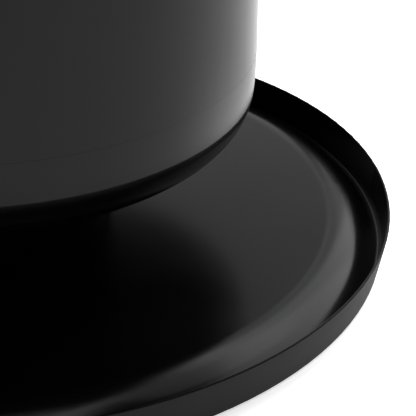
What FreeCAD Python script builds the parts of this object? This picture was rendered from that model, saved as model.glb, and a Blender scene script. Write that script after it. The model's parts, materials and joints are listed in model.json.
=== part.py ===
"""Round umbrella stand: a steel cylinder held above a wide drip tray by a short stem.

Units are millimetres. +Z is up. The origin is the point on the floor under the middle of
the tray. Everything that is round turns about the Z axis.
"""

import FreeCAD, Part
import os
import math

os.makedirs("parts", exist_ok=True)

# ---- driving dimensions -------------------------------------------------------------
FOOT_GAP = 1.0            # the foot pads hold the tray this far above the floor

TRAY_RIM_RADIUS = 180.0   # outside of the tray at its rim
TRAY_FOOT_RADIUS = 176.6  # outside of the tray at its foot, so the wall leans outwards
TRAY_HEIGHT = 17.2        # foot to rim
TRAY_SHEET = 1.0
SHOULDER_START = 151.7    # radius where the flat middle starts to curve down
SHOULDER_END = 168.6      # radius where the curve meets the straight outer fall
FALL_SLOPE = math.radians(36)
BEND_STEP = math.radians(2)
CREASE_RADIUS = 1.0       # small round between the fall and the wall

STEM_RADIUS = 57.0
STEM_WALL = 2.0
PLATE_THICKNESS = 3.0
GASKET_THICKNESS = 1.0

BODY_RADIUS = 120.0
BODY_SHEET = 1.2
BODY_BOTTOM = 53.2        # underside of the body above the floor
PAN_TOP = 90.2            # height of the joint between the base pan and the shell
PAN_EDGE_RADIUS = 21.6    # rounded lower edge of the body
PAN_DRAFT = 5.0           # the pan leans in by this angle before its rounded edge, degrees
STAND_HEIGHT = 520.0
RIM_BAR_HEIGHT = 5.0
RIM_BAR_WIDTH = 4.0
SEAM_CHAMFER = 0.03

SCREW_CIRCLE = 42.0       # radius of the circle the screws stand on
SCREW_COUNT = 4
SCREW_RADIUS = 2.95
SCREW_HOLE = 3.3
SCREW_HEAD_RADIUS = 5.5
SCREW_HEAD_HEIGHT = 3.0
SOCKET_RADIUS = 2.3
SOCKET_DEPTH = 1.8
WASHER_RADIUS = 6.5
WASHER_THICKNESS = 1.0
NUT_RADIUS = 5.8
NUT_HEIGHT = 5.0
NUT_BORE = 3.05

BALLAST_RADIUS = 52.0
BALLAST_HEIGHT = 26.0
CUSHION_RADIUS = 46.0
POCKET_RADIUS = 8.0       # room around a nut
POCKET_DEPTH = 8.0

FOOT_PAD_RADIUS = 10.0
FOOT_PAD_CIRCLE = 130.0
FOOT_PAD_COUNT = 6

REST_PAD_RADIUS = 9.0
REST_PAD_HEIGHT = 8.0
REST_PAD_CIRCLE = 72.0
REST_PAD_COUNT = 4

LINER_WALL = 2.0
LINER_HEIGHT = 110.0
LINER_TOP_RADIUS = 111.0
LINER_LOW_RADIUS = 98.0
LINER_CORNER = 14.0
LINER_LIP = 3.0           # the rolled lip stands out this far
MAT_RADIUS = 81.0
MAT_BASE = 2.0
MAT_RIB = 2.0
MAT_RIB_WIDTH = 3.0
MAT_RIB_STEP = 19.0

PIVOT_DROP = 14.0         # pivot axis below the top of the liner
LUG_RADIUS = 7.0
LUG_INNER = 98.0          # distance of the lug's face from the middle
BORE_CLEARANCE = 0.05
WIRE_RADIUS = 2.5
BAIL_RADIUS = 90.0
BAIL_BEND = 6.0
BAIL_END = 105.0          # distance of the wire's tip from the middle
BORE_END_GAP = 0.5        # the bore runs this far past the wire's tip
GRIP_RADIUS = 6.0
GRIP_HALF_ANGLE = 22.0
STOP_ANGLE = 52.0         # the bail's rests stand at this angle from the pivot axis
STOP_ANGLES = (STOP_ANGLE, 180 - STOP_ANGLE, 180 + STOP_ANGLE, -STOP_ANGLE)
STOP_INNER = 89.0
STOP_WIDTH = 8.0
STOP_HEIGHT = 5.0
STOP_GAP = 0.3

# ---- heights worked out from the sizes above ----------------------------------------
TRAY_TOP = FOOT_GAP + TRAY_HEIGHT
TRAY_EDGE_Z = FOOT_GAP + TRAY_SHEET
WALL_LEAN = math.atan2(TRAY_RIM_RADIUS - TRAY_FOOT_RADIUS, TRAY_HEIGHT)
WALL_LEVEL = TRAY_SHEET / math.cos(WALL_LEAN)         # thickness of the wall, measured level
FLOOR_EDGE = TRAY_FOOT_RADIUS + TRAY_SHEET * math.tan(WALL_LEAN) - WALL_LEVEL
SHOULDER_RADIUS = (SHOULDER_END - SHOULDER_START) / math.sin(FALL_SLOPE)
SHOULDER_DROP = SHOULDER_RADIUS * (1 - math.cos(FALL_SLOPE))
FALL_DROP = (FLOOR_EDGE - SHOULDER_END) * math.tan(FALL_SLOPE)
TRAY_FLOOR_Z = TRAY_EDGE_Z + FALL_DROP + SHOULDER_DROP
TRAY_UNDER_Z = TRAY_FLOOR_Z - TRAY_SHEET
LOWER_PLATE_BOTTOM = TRAY_FLOOR_Z + GASKET_THICKNESS
LOWER_PLATE_TOP = LOWER_PLATE_BOTTOM + PLATE_THICKNESS
UPPER_PLATE_TOP = BODY_BOTTOM - GASKET_THICKNESS
UPPER_PLATE_BOTTOM = UPPER_PLATE_TOP - PLATE_THICKNESS
BALLAST_TOP = LOWER_PLATE_TOP + BALLAST_HEIGHT
PAN_FLOOR_Z = BODY_BOTTOM + BODY_SHEET
SHELL_TOP = STAND_HEIGHT - RIM_BAR_HEIGHT
LINER_BOTTOM = PAN_FLOOR_Z + REST_PAD_HEIGHT
LINER_TOP = LINER_BOTTOM + LINER_HEIGHT
LINER_FLOOR_Z = LINER_BOTTOM + LINER_WALL
PIVOT_Z = LINER_TOP - PIVOT_DROP

AXIS_POINT = FreeCAD.Vector(0, 0, 0)
UP = FreeCAD.Vector(0, 0, 1)


# ---- small helpers ------------------------------------------------------------------
def at(radius, height):
    """A point of a profile, which lies in the XZ plane."""
    return FreeCAD.Vector(radius, 0, height)


def line(start, end):
    return Part.makeLine(start, end)


def arc(start, middle, end):
    return Part.Arc(start, middle, end).toShape()


def turned(edges):
    """Turn a closed profile once round the Z axis."""
    face = Part.Face(Part.Wire(edges))
    return face.revolve(AXIS_POINT, UP, 360)


def disc(radius, bottom, top):
    return Part.makeCylinder(radius, top - bottom, FreeCAD.Vector(0, 0, bottom))


def ring(inner, outer, bottom, top):
    return disc(outer, bottom, top).cut(disc(inner, bottom - 1, top + 1))


def circle_points(radius, count, first_angle=0.0):
    """Points evenly spaced on a circle about the Z axis."""
    step = 2 * math.pi / count
    start = math.radians(first_angle)
    return [(radius * math.cos(start + k * step), radius * math.sin(start + k * step)) for k in range(count)]


def screw_points():
    return circle_points(SCREW_CIRCLE, SCREW_COUNT, 45)


def post(x, y, radius, bottom, top):
    return Part.makeCylinder(radius, top - bottom, FreeCAD.Vector(x, y, bottom))


def with_holes(shape, points, radius, bottom, top):
    for x, y in points:
        shape = shape.cut(post(x, y, radius, bottom, top))
    return shape


def rounded(shape, radius, size, height, tolerance=0.01):
    """Round the circular edges of the given radius and height."""
    edges = []
    for edge in shape.Edges:
        curve = edge.Curve
        if not isinstance(curve, Part.Circle):
            continue
        if abs(curve.Radius - radius) < tolerance and abs(curve.Center.z - height) < tolerance:
            edges.append(edge)
    return shape.makeFillet(size, edges)


def save(name, shape):
    shape.exportStep("parts/" + name + ".step")


def save_group(name, shapes):
    save(name, Part.makeCompound(shapes))


# ---- tray ---------------------------------------------------------------------------
def bend(start, radius, slope):
    """Short arcs, end to end, that leave a point level and steepen to a slope.

    Each arc is an edge of its own, so a mesh of the tray keeps close to the curve.
    """
    def along(angle):
        return start + at(radius * math.sin(angle), -radius * (1 - math.cos(angle)))

    steps = round(slope / BEND_STEP)
    angles = [slope * k / steps for k in range(steps + 1)]
    edges = [arc(along(a), along((a + b) / 2), along(b)) for a, b in zip(angles, angles[1:])]
    return edges, along(slope)


def shoulder(lowered):
    """Edges of the tray's floor, lowered by a distance, from the middle out to the wall."""
    level_end = at(SHOULDER_START, TRAY_FLOOR_Z - lowered)
    flat = line(at(0, TRAY_FLOOR_Z - lowered), level_end)
    curve, curve_end = bend(level_end, SHOULDER_RADIUS, FALL_SLOPE)
    corner = at(FLOOR_EDGE, TRAY_EDGE_Z - lowered)
    return [flat] + curve + [line(curve_end, corner)], corner


def drip_tray():
    upper, inner_corner = shoulder(0)
    lower, under_corner = shoulder(TRAY_SHEET)
    inner_rim = at(TRAY_RIM_RADIUS - WALL_LEVEL, TRAY_TOP)
    outer_rim = at(TRAY_RIM_RADIUS, TRAY_TOP)
    foot = at(TRAY_FOOT_RADIUS, FOOT_GAP)
    edges = upper + [
        line(inner_corner, inner_rim),
        line(inner_rim, outer_rim),
        line(outer_rim, foot),
        line(foot, under_corner),
    ] + lower[::-1] + [line(at(0, TRAY_UNDER_Z), at(0, TRAY_FLOOR_Z))]
    tray = turned(edges)
    tray = rounded(tray, TRAY_RIM_RADIUS, 0.45, TRAY_TOP)
    tray = rounded(tray, TRAY_RIM_RADIUS - WALL_LEVEL, 0.45, TRAY_TOP)
    tray = rounded(tray, TRAY_FOOT_RADIUS, 0.6, FOOT_GAP)
    tray = rounded(tray, FLOOR_EDGE, CREASE_RADIUS, TRAY_EDGE_Z)
    return with_holes(tray, screw_points(), SCREW_HOLE, 0, TRAY_TOP)


def foot_pad(x, y):
    pad = post(x, y, FOOT_PAD_RADIUS, 0, TRAY_UNDER_Z)
    lower_edges = [edge for edge in pad.Edges if edge.BoundBox.ZMax < 0.01]
    return pad.makeFillet(0.6, lower_edges)


# ---- stem ---------------------------------------------------------------------------
def stem_tube():
    return ring(STEM_RADIUS - STEM_WALL, STEM_RADIUS, TRAY_FLOOR_Z, BODY_BOTTOM)


def gasket(bottom):
    """A flat seal inside the tube's end, between a plate and the sheet it is screwed to."""
    pad = disc(STEM_RADIUS - STEM_WALL, bottom, bottom + GASKET_THICKNESS)
    return with_holes(pad, screw_points(), SCREW_HOLE, bottom - 1, bottom + GASKET_THICKNESS + 1)


def plate(bottom):
    body = disc(STEM_RADIUS - STEM_WALL, bottom, bottom + PLATE_THICKNESS)
    return with_holes(body, screw_points(), SCREW_HOLE, bottom - 1, bottom + PLATE_THICKNESS + 1)


def weld_nut(x, y, bottom):
    hexagon = [FreeCAD.Vector(x + a, y + b, bottom) for a, b in circle_points(NUT_RADIUS, 6)]
    outline = Part.makePolygon(hexagon + [hexagon[0]])
    nut = Part.Face(outline).extrude(FreeCAD.Vector(0, 0, NUT_HEIGHT))
    return nut.cut(post(x, y, NUT_BORE, bottom - 1, bottom + NUT_HEIGHT + 1))


def washer(x, y, bottom):
    flat = post(x, y, WASHER_RADIUS, bottom, bottom + WASHER_THICKNESS)
    return flat.cut(post(x, y, SCREW_HOLE, bottom - 1, bottom + WASHER_THICKNESS + 1))


def button_screw(length):
    """A screw standing on its head: the head is below Z = 0 and the shank above it."""
    head = post(0, 0, SCREW_HEAD_RADIUS, -SCREW_HEAD_HEIGHT, 0)
    crown = [edge for edge in head.Edges if edge.BoundBox.ZMax < 0.01 - SCREW_HEAD_HEIGHT]
    head = head.makeFillet(1.4, crown)
    corners = [FreeCAD.Vector(a, b, -SCREW_HEAD_HEIGHT) for a, b in circle_points(SOCKET_RADIUS, 6)]
    socket = Part.Face(Part.makePolygon(corners + [corners[0]])).extrude(FreeCAD.Vector(0, 0, SOCKET_DEPTH))
    shank = post(0, 0, SCREW_RADIUS, 0, length)
    tip = [edge for edge in shank.Edges if edge.BoundBox.ZMin > length - 0.01]
    shank = shank.makeChamfer(0.6, tip)
    return head.cut(socket).fuse(shank).removeSplitter()


def tray_screw(x, y):
    seat = TRAY_UNDER_Z - WASHER_THICKNESS
    screw = button_screw(LOWER_PLATE_TOP + NUT_HEIGHT + 1 - seat)
    screw.translate(FreeCAD.Vector(x, y, seat))
    return screw


def body_screw(x, y):
    seat = PAN_FLOOR_Z + WASHER_THICKNESS
    screw = button_screw(seat - (UPPER_PLATE_BOTTOM - NUT_HEIGHT - 1))
    screw.rotate(AXIS_POINT, FreeCAD.Vector(1, 0, 0), 180)
    screw.translate(FreeCAD.Vector(x, y, seat))
    return screw


def ballast_weight():
    weight = disc(BALLAST_RADIUS, LOWER_PLATE_TOP, BALLAST_TOP)
    weight = rounded(weight, BALLAST_RADIUS, 2.0, BALLAST_TOP)
    return with_holes(weight, screw_points(), POCKET_RADIUS, LOWER_PLATE_TOP - 1, LOWER_PLATE_TOP + POCKET_DEPTH)


def ballast_cushion():
    cushion = disc(CUSHION_RADIUS, BALLAST_TOP, UPPER_PLATE_BOTTOM)
    return with_holes(cushion, screw_points(), POCKET_RADIUS, BALLAST_TOP - 1, UPPER_PLATE_BOTTOM + 1)


# ---- body ---------------------------------------------------------------------------
def pan_side(inset):
    """Edges of the pan from its top down to the middle of its floor, moved in by inset."""
    lean = math.radians(PAN_DRAFT)
    height = PAN_TOP - BODY_BOTTOM - PAN_EDGE_RADIUS * (1 - math.sin(lean))
    sweep = height / math.sin(lean)
    middle_x = BODY_RADIUS - sweep
    big = sweep - inset
    small = PAN_EDGE_RADIUS - inset
    edge_x = middle_x + (sweep - PAN_EDGE_RADIUS) * math.cos(lean)
    edge_z = PAN_TOP - (sweep - PAN_EDGE_RADIUS) * math.sin(lean)
    half = (lean + math.pi / 2) / 2

    def on_sweep(angle):
        return at(middle_x + big * math.cos(angle), PAN_TOP - big * math.sin(angle))

    def on_edge(angle):
        return at(edge_x + small * math.cos(angle), edge_z - small * math.sin(angle))

    side = arc(on_sweep(0), on_sweep(lean / 2), on_sweep(lean))
    corner = arc(on_edge(lean), on_edge(half), on_edge(math.pi / 2))
    floor = line(on_edge(math.pi / 2), at(0, BODY_BOTTOM + inset))
    return [side, corner, floor]


def body_base_pan():
    outside = pan_side(0)
    inside = pan_side(BODY_SHEET)
    top = line(at(BODY_RADIUS - BODY_SHEET, PAN_TOP), at(BODY_RADIUS, PAN_TOP))
    middle = line(at(0, BODY_BOTTOM), at(0, PAN_FLOOR_Z))
    pan = turned([top] + outside + [middle] + inside[::-1])
    pan = chamfered_seam(pan)
    return with_holes(pan, screw_points(), SCREW_HOLE, BODY_BOTTOM - 1, PAN_FLOOR_Z + 1)


def chamfered_seam(shape):
    """Break the outer edge at the joint between pan and shell."""
    edges = []
    for edge in shape.Edges:
        box = edge.BoundBox
        if abs(box.ZMin - PAN_TOP) < 0.01 and abs(box.ZMax - PAN_TOP) < 0.01 and box.XMax > BODY_RADIUS - 0.01:
            edges.append(edge)
    return shape.makeChamfer(SEAM_CHAMFER, edges)


def body_shell():
    return chamfered_seam(ring(BODY_RADIUS - BODY_SHEET, BODY_RADIUS, PAN_TOP, SHELL_TOP))


def top_rim_bar():
    bar = ring(BODY_RADIUS - RIM_BAR_WIDTH, BODY_RADIUS, SHELL_TOP, STAND_HEIGHT)
    bar = rounded(bar, BODY_RADIUS, 1.8, STAND_HEIGHT)
    return rounded(bar, BODY_RADIUS - RIM_BAR_WIDTH, 1.8, STAND_HEIGHT)


def rest_pad(x, y):
    return post(x, y, REST_PAD_RADIUS, PAN_FLOOR_Z, LINER_BOTTOM)


# ---- liner --------------------------------------------------------------------------
def level(x, y):
    """A point at the height of the pivot axis."""
    return FreeCAD.Vector(x, y, PIVOT_Z)


def distance_from_axis(solid):
    return math.hypot(solid.CenterOfMass.x, solid.CenterOfMass.y)


def liner_radius(height):
    """Outside radius of the leaning liner wall at a height."""
    foot = LINER_BOTTOM + LINER_CORNER
    share = (height - foot) / (LINER_TOP - foot)
    return LINER_LOW_RADIUS + share * (LINER_TOP_RADIUS - LINER_LOW_RADIUS)


def liner_bucket():
    bend = LINER_CORNER
    small = LINER_CORNER - LINER_WALL
    foot = LINER_BOTTOM + bend
    middle = LINER_LOW_RADIUS - bend
    slant = math.sin(math.pi / 4)
    outer_half = at(middle + bend * slant, foot - bend * slant)
    inner_half = at(middle + small * slant, foot - small * slant)
    lip = LINER_TOP - LINER_WALL
    lip_radius = liner_radius(lip)
    edges = [
        line(at(0, LINER_BOTTOM), at(middle, LINER_BOTTOM)),
        arc(at(middle, LINER_BOTTOM), outer_half, at(LINER_LOW_RADIUS, foot)),
        line(at(LINER_LOW_RADIUS, foot), at(lip_radius, lip)),
        line(at(lip_radius, lip), at(lip_radius + LINER_LIP, lip)),
        line(at(lip_radius + LINER_LIP, lip), at(lip_radius + LINER_LIP, LINER_TOP)),
        line(at(lip_radius + LINER_LIP, LINER_TOP), at(LINER_TOP_RADIUS - LINER_WALL, LINER_TOP)),
        line(at(LINER_TOP_RADIUS - LINER_WALL, LINER_TOP), at(LINER_LOW_RADIUS - LINER_WALL, foot)),
        arc(at(LINER_LOW_RADIUS - LINER_WALL, foot), inner_half, at(middle, LINER_FLOOR_Z)),
        line(at(middle, LINER_FLOOR_Z), at(0, LINER_FLOOR_Z)),
        line(at(0, LINER_FLOOR_Z), at(0, LINER_BOTTOM)),
    ]
    return turned(edges)


def pivot_bracket(side):
    """A boss on the inside of the liner wall with a blind bore for the bail's end."""
    along = FreeCAD.Vector(side, 0, 0)
    boss = Part.makeCylinder(LUG_RADIUS, LINER_TOP_RADIUS - LUG_INNER, level(side * LUG_INNER, 0), along)
    bore_length = BAIL_END + BORE_END_GAP - LUG_INNER + 1
    bore = Part.makeCylinder(WIRE_RADIUS + BORE_CLEARANCE, bore_length, level(side * (LUG_INNER - 1), 0), along)
    return inner_part(boss.cut(bore))


def bail_rest(angle):
    """A small shelf on the liner wall that the bail lies on."""
    top = PIVOT_Z - WIRE_RADIUS - STOP_GAP
    corner = FreeCAD.Vector(STOP_INNER, -STOP_WIDTH / 2, top - STOP_HEIGHT)
    shelf = Part.makeBox(LINER_TOP_RADIUS - STOP_INNER, STOP_WIDTH, STOP_HEIGHT, corner)
    shelf.rotate(AXIS_POINT, UP, angle)
    return inner_part(shelf)


def inner_part(shape):
    """The part of a shape that lies inside the liner's wall."""
    left = shape.cut(liner_bucket())
    pieces = sorted(left.Solids, key=distance_from_axis)
    return pieces[0]


def umbrella_tip_mat():
    base = disc(MAT_RADIUS, LINER_FLOOR_Z, LINER_FLOOR_Z + MAT_BASE)
    rib_top = LINER_FLOOR_Z + MAT_BASE + MAT_RIB
    outer = MAT_RADIUS
    while outer > MAT_RIB_STEP:
        base = base.fuse(ring(outer - MAT_RIB_WIDTH, outer, LINER_FLOOR_Z + MAT_BASE, rib_top))
        outer = outer - MAT_RIB_STEP
    return base.removeSplitter()


# ---- bail ---------------------------------------------------------------------------
def bail_path():
    bend = BAIL_BEND
    turn = BAIL_RADIUS + bend
    slant = bend * math.sin(math.pi / 4)
    right_end = line(level(BAIL_END, 0), level(turn, 0))
    right_bend = arc(level(turn, 0), level(turn - slant, bend - slant), level(BAIL_RADIUS, bend))
    hoop = arc(level(BAIL_RADIUS, bend), level(0, bend + BAIL_RADIUS), level(-BAIL_RADIUS, bend))
    left_bend = arc(level(-BAIL_RADIUS, bend), level(slant - turn, bend - slant), level(-turn, 0))
    left_end = line(level(-turn, 0), level(-BAIL_END, 0))
    return Part.Wire([right_end, right_bend, hoop, left_bend, left_end])


def bail_wire():
    section = Part.Wire(Part.makeCircle(WIRE_RADIUS, level(BAIL_END, 0), FreeCAD.Vector(1, 0, 0)))
    return bail_path().makePipeShell([section], True, True)


def bail_grip():
    """A sleeve bent along the middle of the hoop."""
    centre = FreeCAD.Vector(0, BAIL_BEND, PIVOT_Z)
    start = FreeCAD.Vector(BAIL_RADIUS, BAIL_BEND, PIVOT_Z)
    along = FreeCAD.Vector(0, 1, 0)
    outer = Part.Wire(Part.makeCircle(GRIP_RADIUS, start, along))
    inner = Part.Wire(Part.makeCircle(WIRE_RADIUS + BORE_CLEARANCE, start, along))
    section = Part.Face([outer, inner])
    sleeve = section.revolve(centre, UP, 2 * GRIP_HALF_ANGLE)
    sleeve.rotate(centre, UP, 90 - GRIP_HALF_ANGLE)
    return sleeve


# ---- write every piece --------------------------------------------------------------
save("drip_tray", drip_tray())
save_group("foot_pads", [foot_pad(x, y) for x, y in circle_points(FOOT_PAD_CIRCLE, FOOT_PAD_COUNT)])
save("stem_gasket", gasket(TRAY_FLOOR_Z))
save("stem_tube", stem_tube())
save("stem_lower_plate", plate(LOWER_PLATE_BOTTOM))
save("stem_upper_plate", plate(UPPER_PLATE_BOTTOM))
save_group("lower_weld_nuts", [weld_nut(x, y, LOWER_PLATE_TOP) for x, y in screw_points()])
save_group("upper_weld_nuts", [weld_nut(x, y, UPPER_PLATE_BOTTOM - NUT_HEIGHT) for x, y in screw_points()])
save_group("tray_washers", [washer(x, y, TRAY_UNDER_Z - WASHER_THICKNESS) for x, y in screw_points()])
save_group("tray_screws", [tray_screw(x, y) for x, y in screw_points()])
save("ballast_weight", ballast_weight())
save("ballast_cushion", ballast_cushion())
save("body_gasket", gasket(UPPER_PLATE_TOP))
save("body_base_pan", body_base_pan())
save_group("body_washers", [washer(x, y, PAN_FLOOR_Z) for x, y in screw_points()])
save_group("body_screws", [body_screw(x, y) for x, y in screw_points()])
save("body_shell", body_shell())
save("top_rim_bar", top_rim_bar())
save_group("liner_rest_pads", [rest_pad(x, y) for x, y in circle_points(REST_PAD_CIRCLE, REST_PAD_COUNT)])
save("liner_bucket", liner_bucket())
save_group("bail_brackets", [pivot_bracket(side) for side in (1, -1)])
save_group("bail_rests", [bail_rest(angle) for angle in STOP_ANGLES])
save("umbrella_tip_mat", umbrella_tip_mat())
save("bail_wire", bail_wire())
save("bail_grip", bail_grip())
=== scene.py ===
import bpy
import json
import math
from mathutils import Matrix, Vector


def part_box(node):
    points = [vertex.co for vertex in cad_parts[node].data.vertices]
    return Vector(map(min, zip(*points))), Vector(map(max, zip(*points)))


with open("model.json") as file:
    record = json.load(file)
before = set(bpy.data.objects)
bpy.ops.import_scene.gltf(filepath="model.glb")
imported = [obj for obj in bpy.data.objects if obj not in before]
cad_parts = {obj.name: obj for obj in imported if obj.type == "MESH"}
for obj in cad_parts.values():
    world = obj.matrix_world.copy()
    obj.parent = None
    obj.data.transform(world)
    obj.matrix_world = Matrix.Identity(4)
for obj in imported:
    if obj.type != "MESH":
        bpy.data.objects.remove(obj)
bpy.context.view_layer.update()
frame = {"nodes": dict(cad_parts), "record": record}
nodes = frame["nodes"]

# ---- camera, placed from the middle of the tray's rim, in rim radii -----------------
RIM_RADIUS = 0.180
TRAY_BOX_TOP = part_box("drip_tray")[1]
RIM_HEIGHT = TRAY_BOX_TOP.z
CAMERA_BACK = 3.483 * RIM_RADIUS
CAMERA_UP = 1.796 * RIM_RADIUS
CAMERA_PITCH = math.radians(28.08)
CAMERA_TURN = math.radians(-9.20)
CAMERA_ROLL = math.radians(0.70)
FOCAL_PIXELS = 1580
IMAGE_WIDTH = 416
SENSOR_WIDTH = 36.0     # mm
CLIP_NEAR = 0.01
CLIP_FAR = 50

# ---- paint --------------------------------------------------------------------------
TRAY_IOR = 1.25
BODY_IOR = 1.32
TRAY_COLOUR = (0.0008, 0.0008, 0.0009)
BODY_COLOUR = (0.0010, 0.0011, 0.0011)
DUST_COLOUR = (0.006, 0.006, 0.006)
LIGHTER_SHARE = 1.35            # the paint's lighter clouds, as a share of its colour
PEEL_SCALE = 900.0
PEEL_DEPTH = 0.000012
BODY_ROUGHNESS = 0.20
STEM_ROUGHNESS = 0.60
STEM_SPECULAR = 0.12
INSIDE_ROUGHNESS = 0.19         # tray, inside and on the floor
OUTSIDE_ROUGHNESS = 0.55        # tray, outside of the wall
WALL_LEAN = 0.1977              # the wall moves out by this share of its height
WALL_SPLIT = (0.1757, 0.1762)   # wall radius less its lean, inside and outside

# ---- stage numbers ------------------------------------------------------------------
FLOOR_SIZE = 20.0
FLOOR_WHITE = 0.9
FLOOR_ROUGHNESS = 0.9
FLOOR_SPECULAR = 0.2
FLOOR_GLOW_HIGH = 0.66
FLOOR_GLOW_LOW = 0.12
FLOOR_FADE_TURN = math.radians(-35)
FLOOR_FADE_START = -0.90
FLOOR_FADE_END = -0.24
POOL_CENTRE = (0.225, -0.01, 0.0)   # a brighter pool of light beside the tray
POOL_GLOW = 0.5
POOL_INSIDE = 0.01                  # radius of its even middle
POOL_OUTSIDE = 0.11                 # radius where it has faded out
WORLD_STRENGTH = 0.05


def make_camera():
    data = bpy.data.cameras.new("camera")
    data.sensor_width = SENSOR_WIDTH
    data.lens = FOCAL_PIXELS / IMAGE_WIDTH * SENSOR_WIDTH
    data.clip_start = CLIP_NEAR
    data.clip_end = CLIP_FAR
    turn, pitch = CAMERA_TURN, CAMERA_PITCH
    forward = Vector((
        -math.sin(turn) * math.cos(pitch),
        math.cos(turn) * math.cos(pitch),
        -math.sin(pitch),
    ))
    right = Vector((math.cos(turn), math.sin(turn), 0))
    up = right.cross(forward)
    roll = Matrix.Rotation(CAMERA_ROLL, 3, -forward)
    right = roll @ right
    up = roll @ up
    camera = bpy.data.objects.new("camera", data)
    rotation = Matrix((right, up, -forward)).transposed()
    place = Vector((0, -CAMERA_BACK, CAMERA_UP + RIM_HEIGHT))
    camera.matrix_world = Matrix.Translation(place) @ rotation.to_4x4()
    bpy.context.scene.collection.objects.link(camera)
    bpy.context.scene.camera = camera


# ---- materials ----------------------------------------------------------------------
# Sockets of the Mix node, which has a set of its own for each kind of data.
MIX_FACTOR = 0
MIX_FIRST_COLOUR = 6
MIX_SECOND_COLOUR = 7
MIX_RESULT_COLOUR = 2


class Shader:
    """A node tree with a Principled shader and short ways to add nodes to it."""

    def __init__(self, name):
        self.material = bpy.data.materials.new(name)
        self.material.use_nodes = True
        self.tree = self.material.node_tree
        self.shader = self.tree.nodes["Principled BSDF"]
        self.place = self.add("ShaderNodeTexCoord").outputs["Object"]

    def add(self, kind, **settings):
        node = self.tree.nodes.new(kind)
        for key, value in settings.items():
            setattr(node, key, value)
        return node

    def link(self, source, target):
        self.tree.links.new(source, target)

    def set(self, **values):
        for key, value in values.items():
            self.shader.inputs[key.replace("_", " ")].default_value = value

    def scaled(self, x, y, z):
        """Object coordinates, scaled, for patterns that are stretched one way."""
        mapping = self.add("ShaderNodeMapping")
        mapping.inputs["Scale"].default_value = (x, y, z)
        self.link(self.place, mapping.inputs["Vector"])
        return mapping.outputs["Vector"]

    def noise(self, scale, detail=3.0, roughness=0.5, vector=None):
        node = self.add("ShaderNodeTexNoise")
        node.inputs["Scale"].default_value = scale
        node.inputs["Detail"].default_value = detail
        node.inputs["Roughness"].default_value = roughness
        self.link(vector or self.place, node.inputs["Vector"])
        return node.outputs["Fac"]

    def spread(self, value, low, high, start=0.3, end=0.7):
        """Run from low to high while the value runs from start to end."""
        node = self.add("ShaderNodeMapRange")
        node.inputs["From Min"].default_value = start
        node.inputs["From Max"].default_value = end
        node.inputs["To Min"].default_value = low
        node.inputs["To Max"].default_value = high
        self.link(value, node.inputs["Value"])
        return node.outputs["Result"]

    def maths(self, operation, first, second):
        node = self.add("ShaderNodeMath", operation=operation)
        for socket, value in zip(node.inputs, (first, second)):
            if isinstance(value, float):
                socket.default_value = value
            else:
                self.link(value, socket)
        return node.outputs["Value"]

    def mix(self, factor, first, second):
        node = self.add("ShaderNodeMix", data_type="RGBA")
        self.link(factor, node.inputs[MIX_FACTOR])
        for place, colour in ((MIX_FIRST_COLOUR, first), (MIX_SECOND_COLOUR, second)):
            if isinstance(colour, tuple):
                node.inputs[place].default_value = colour + (1.0,)
            else:
                self.link(colour, node.inputs[place])
        return node.outputs[MIX_RESULT_COLOUR]

    def colour(self, source):
        self.link(source, self.shader.inputs["Base Color"])

    def roughness(self, source):
        self.link(source, self.shader.inputs["Roughness"])

    def bump(self, height, distance):
        node = self.add("ShaderNodeBump")
        node.inputs["Strength"].default_value = 1.0
        node.inputs["Distance"].default_value = distance
        self.link(height, node.inputs["Height"])
        self.link(node.outputs["Normal"], self.shader.inputs["Normal"])


def satin_paint(name, colour, rough, index):
    """Black powder coat: a fine orange peel, slow changes of gloss and a few dust grains."""
    s = Shader(name)
    s.set(IOR=index)
    lighter = tuple(LIGHTER_SHARE * c for c in colour)
    cloud = s.spread(s.noise(scale=9.0, detail=4.0), 0.0, 1.0)
    dust = s.spread(s.noise(scale=1400.0, detail=2.0), 0.0, 1.0, start=0.72, end=0.80)
    s.colour(s.mix(dust, s.mix(cloud, colour, lighter), DUST_COLOUR))
    s.roughness(s.spread(s.noise(scale=22.0, detail=4.0), rough - 0.02, rough + 0.03))
    s.bump(s.noise(scale=PEEL_SCALE, detail=2.0), PEEL_DEPTH)
    return s


def tray_paint():
    """The tray's coat is duller on the outside of the leaning wall than on the inside."""
    s = satin_paint("tray_paint", TRAY_COLOUR, INSIDE_ROUGHNESS, TRAY_IOR)
    split = s.add("ShaderNodeSeparateXYZ")
    s.link(s.place, split.inputs["Vector"])
    level = s.add("ShaderNodeCombineXYZ")
    s.link(split.outputs["X"], level.inputs["X"])
    s.link(split.outputs["Y"], level.inputs["Y"])
    radius = s.add("ShaderNodeVectorMath", operation="LENGTH")
    s.link(level.outputs["Vector"], radius.inputs[0])
    lean = s.maths("MULTIPLY", split.outputs["Z"], WALL_LEAN)
    upright = s.maths("SUBTRACT", radius.outputs["Value"], lean)
    inside = s.shader.inputs["Roughness"].links[0].from_socket
    duller = s.spread(upright, 0.0, OUTSIDE_ROUGHNESS - INSIDE_ROUGHNESS, *WALL_SPLIT)
    s.roughness(s.maths("ADD", inside, duller))
    return s.material


def stem_paint():
    """The stem is coated dead matt."""
    s = satin_paint("stem_paint", TRAY_COLOUR, STEM_ROUGHNESS, TRAY_IOR)
    s.set(Specular_IOR_Level=STEM_SPECULAR)
    return s.material


def worn_edges(s, base, bare, width=0.0012):
    """The base colour with a bare one mixed in along the sharp edges, broken up by noise."""
    bevel = s.add("ShaderNodeBevel", samples=4)
    bevel.inputs["Radius"].default_value = width
    geometry = s.add("ShaderNodeNewGeometry")
    turn = s.add("ShaderNodeVectorMath", operation="DOT_PRODUCT")
    s.link(bevel.outputs["Normal"], turn.inputs[0])
    s.link(geometry.outputs["Normal"], turn.inputs[1])
    edge = s.spread(turn.outputs["Value"], 0.0, 1.0, start=0.995, end=0.90)
    patch = s.spread(s.noise(scale=160.0, detail=5.0, roughness=0.6), 0.0, 1.0, start=0.42, end=0.62)
    return s.mix(s.maths("MULTIPLY", edge, patch), base, bare)


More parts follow.
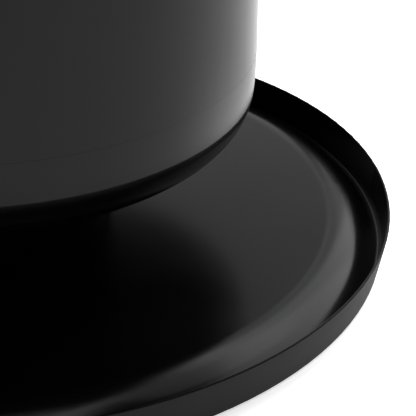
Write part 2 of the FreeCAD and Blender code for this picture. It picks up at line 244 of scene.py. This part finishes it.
def zinc_steel():
    """Zinc-plated steel: bright, slightly blotched, with fine level marks."""
    s = Shader("zinc_steel")
    s.set(Metallic=1.0)
    blotch = s.spread(s.noise(scale=120.0, detail=5.0, roughness=0.6), 0.0, 1.0)
    plain = s.mix(blotch, (0.46, 0.47, 0.48), (0.58, 0.58, 0.57))
    s.colour(worn_edges(s, plain, (0.70, 0.70, 0.69), width=0.0006))
    s.roughness(s.spread(s.noise(scale=300.0, detail=4.0), 0.26, 0.42))
    marks = s.noise(scale=1.0, detail=3.0, roughness=0.6, vector=s.scaled(400, 400, 2600))
    s.bump(marks, distance=0.00002)
    return s.material


def cast_iron():
    """Cast iron ballast: dark and coarse, with patches of rust."""
    s = Shader("cast_iron")
    s.set(Metallic=0.6)
    rust = s.spread(s.noise(scale=60.0, detail=6.0, roughness=0.65), 0.0, 1.0, start=0.50, end=0.68)
    grain = s.spread(s.noise(scale=250.0, detail=4.0), 0.0, 1.0)
    skin = s.mix(grain, (0.055, 0.055, 0.057), (0.10, 0.10, 0.10))
    s.colour(s.mix(rust, worn_edges(s, skin, (0.20, 0.20, 0.20)), (0.11, 0.052, 0.028)))
    s.roughness(s.spread(s.noise(scale=90.0, detail=4.0), 0.60, 0.85))
    s.bump(s.noise(scale=420.0, detail=6.0, roughness=0.6), distance=0.00025)
    return s.material


def rubber():
    """Black rubber with a fine grain, grey dust and rubbed edges."""
    s = Shader("rubber")
    s.set(IOR=1.45)
    dust = s.spread(s.noise(scale=45.0, detail=6.0, roughness=0.65), 0.0, 1.0, start=0.45, end=0.75)
    plain = s.mix(dust, (0.009, 0.009, 0.009), (0.022, 0.021, 0.020))
    s.colour(worn_edges(s, plain, (0.035, 0.034, 0.032)))
    s.roughness(s.spread(s.noise(scale=150.0, detail=4.0), 0.62, 0.80))
    s.bump(s.noise(scale=1800.0, detail=3.0), distance=0.00005)
    return s.material


def liner_plastic():
    """Moulded black plastic: a fine sparked grain, faint flow marks and rubbed edges."""
    s = Shader("liner_plastic")
    s.set(IOR=1.46)
    marks = s.noise(scale=1.0, detail=4.0, roughness=0.5, vector=s.scaled(14, 14, 40))
    flow = s.spread(marks, 0.0, 1.0)
    plain = s.mix(flow, (0.011, 0.011, 0.012), (0.017, 0.017, 0.018))
    s.colour(worn_edges(s, plain, (0.045, 0.045, 0.046)))
    s.roughness(s.spread(s.noise(scale=60.0, detail=4.0), 0.42, 0.56))
    s.bump(s.noise(scale=1500.0, detail=3.0, roughness=0.6), distance=0.00006)
    return s.material


def bail_steel():
    """Stainless wire: slightly uneven in tone, with level drawing marks and fine scratches."""
    s = Shader("bail_steel")
    s.set(Metallic=1.0)
    tone = s.spread(s.noise(scale=140.0, detail=4.0), 0.0, 1.0)
    s.colour(s.mix(tone, (0.50, 0.50, 0.49), (0.62, 0.61, 0.60)))
    marks = s.noise(scale=1.0, detail=4.0, roughness=0.6, vector=s.scaled(60, 60, 900))
    s.roughness(s.spread(marks, 0.18, 0.34))
    scratches = s.noise(scale=1.0, detail=3.0, roughness=0.6, vector=s.scaled(90, 90, 2400))
    s.bump(scratches, distance=0.00001)
    return s.material


def grip_plastic():
    """The handle's sleeve: smooth dark plastic polished in patches by hands."""
    s = Shader("grip_plastic")
    s.set(IOR=1.46)
    worn = s.spread(s.noise(scale=55.0, detail=4.0, roughness=0.6), 0.0, 1.0)
    plain = s.mix(worn, (0.012, 0.012, 0.012), (0.019, 0.019, 0.019))
    s.colour(worn_edges(s, plain, (0.040, 0.040, 0.040)))
    s.roughness(s.spread(s.noise(scale=45.0, detail=5.0, roughness=0.6), 0.28, 0.50))
    s.bump(s.noise(scale=1200.0, detail=3.0), distance=0.00004)
    return s.material


def build_materials():
    return {
        "tray_paint": tray_paint(),
        "body_paint": satin_paint("body_paint", BODY_COLOUR, BODY_ROUGHNESS, BODY_IOR).material,
        "steel": zinc_steel(),
        "iron": cast_iron(),
        "rubber": rubber(),
        "liner_plastic": liner_plastic(),
        "bail_steel": bail_steel(),
        "grip_plastic": grip_plastic(),
    }


def dress(node, material):
    mesh = nodes[node].data
    mesh.materials.clear()
    mesh.materials.append(material)


def dress_all():
    """Give each piece the material of its slot, and the stem a coat of its own."""
    made = build_materials()
    for part in frame["record"]["subparts"]:
        dress(part["node"], made[part["material_slot"]])
    dress("stem_tube", stem_paint())


# ---- stage --------------------------------------------------------------------------
def make_floor():
    """A white floor whose glow fades towards the front left, with one brighter pool."""
    bpy.ops.mesh.primitive_plane_add(size=FLOOR_SIZE, location=(0, 0, 0))
    floor = bpy.context.object
    floor.name = "floor"
    s = Shader("floor_white")
    s.set(
        Base_Color=(FLOOR_WHITE, FLOOR_WHITE, FLOOR_WHITE, 1),
        Roughness=FLOOR_ROUGHNESS,
        Specular_IOR_Level=FLOOR_SPECULAR,
        Emission_Color=(1, 1, 1, 1),
    )
    turned = s.add("ShaderNodeMapping", vector_type="POINT")
    turned.inputs["Rotation"].default_value = (0, 0, FLOOR_FADE_TURN)
    s.link(s.place, turned.inputs["Vector"])
    split = s.add("ShaderNodeSeparateXYZ")
    s.link(turned.outputs["Vector"], split.inputs["Vector"])
    glow = s.spread(split.outputs["X"], FLOOR_GLOW_LOW, FLOOR_GLOW_HIGH, FLOOR_FADE_START, FLOOR_FADE_END)
    away = s.add("ShaderNodeVectorMath", operation="DISTANCE")
    s.link(s.place, away.inputs[0])
    away.inputs[1].default_value = POOL_CENTRE
    pool = s.spread(away.outputs["Value"], POOL_GLOW, 0.0, POOL_INSIDE, POOL_OUTSIDE)
    s.link(s.maths("ADD", glow, pool), s.shader.inputs["Emission Strength"])
    floor.data.materials.append(s.material)


def softbox(name, heading, rise, distance, width, height, radiance):
    """A rectangular light facing the middle of the floor; heading is measured from +X towards +Y."""
    heading, rise = math.radians(heading), math.radians(rise)
    data = bpy.data.lights.new(name, "AREA")
    data.shape = "RECTANGLE"
    data.size = width
    data.size_y = height
    data.energy = math.pi * width * height * radiance
    light = bpy.data.objects.new(name, data)
    away = Vector((
        math.cos(heading) * math.cos(rise),
        math.sin(heading) * math.cos(rise),
        math.sin(rise),
    ))
    light.location = distance * away
    light.rotation_euler = (-away).to_track_quat("-Z", "Y").to_euler()
    bpy.context.scene.collection.objects.link(light)


def make_light():
    world = bpy.data.worlds.new("studio")
    bpy.context.scene.world = world
    world.use_nodes = True
    background = world.node_tree.nodes["Background"]
    background.inputs["Color"].default_value = (1, 1, 1, 1)
    background.inputs["Strength"].default_value = WORLD_STRENGTH
    softbox("softbox_right", heading=32, rise=37, distance=2.6, width=2.2, height=1.9, radiance=1.55)
    softbox("softbox_front", heading=17, rise=37, distance=2.65, width=2.2, height=1.9, radiance=1.05)
    softbox("softbox_wide", heading=38.5, rise=36, distance=2.7, width=2.75, height=2.0, radiance=0.95)
    softbox("softbox_high", heading=52, rise=60, distance=2.6, width=2.2, height=1.4, radiance=1.15)
    softbox("softbox_back", heading=88, rise=22, distance=3.4, width=2.2, height=2.4, radiance=0.58)
    softbox("softbox_back_low", heading=86, rise=12, distance=3.0, width=1.8, height=1.5, radiance=0.28)
    softbox("softbox_top", heading=0, rise=90, distance=2.4, width=1.1, height=1.1, radiance=3.5)


make_camera()
make_floor()
make_light()
dress_all()
bpy.context.scene.view_settings.view_transform = "Standard"
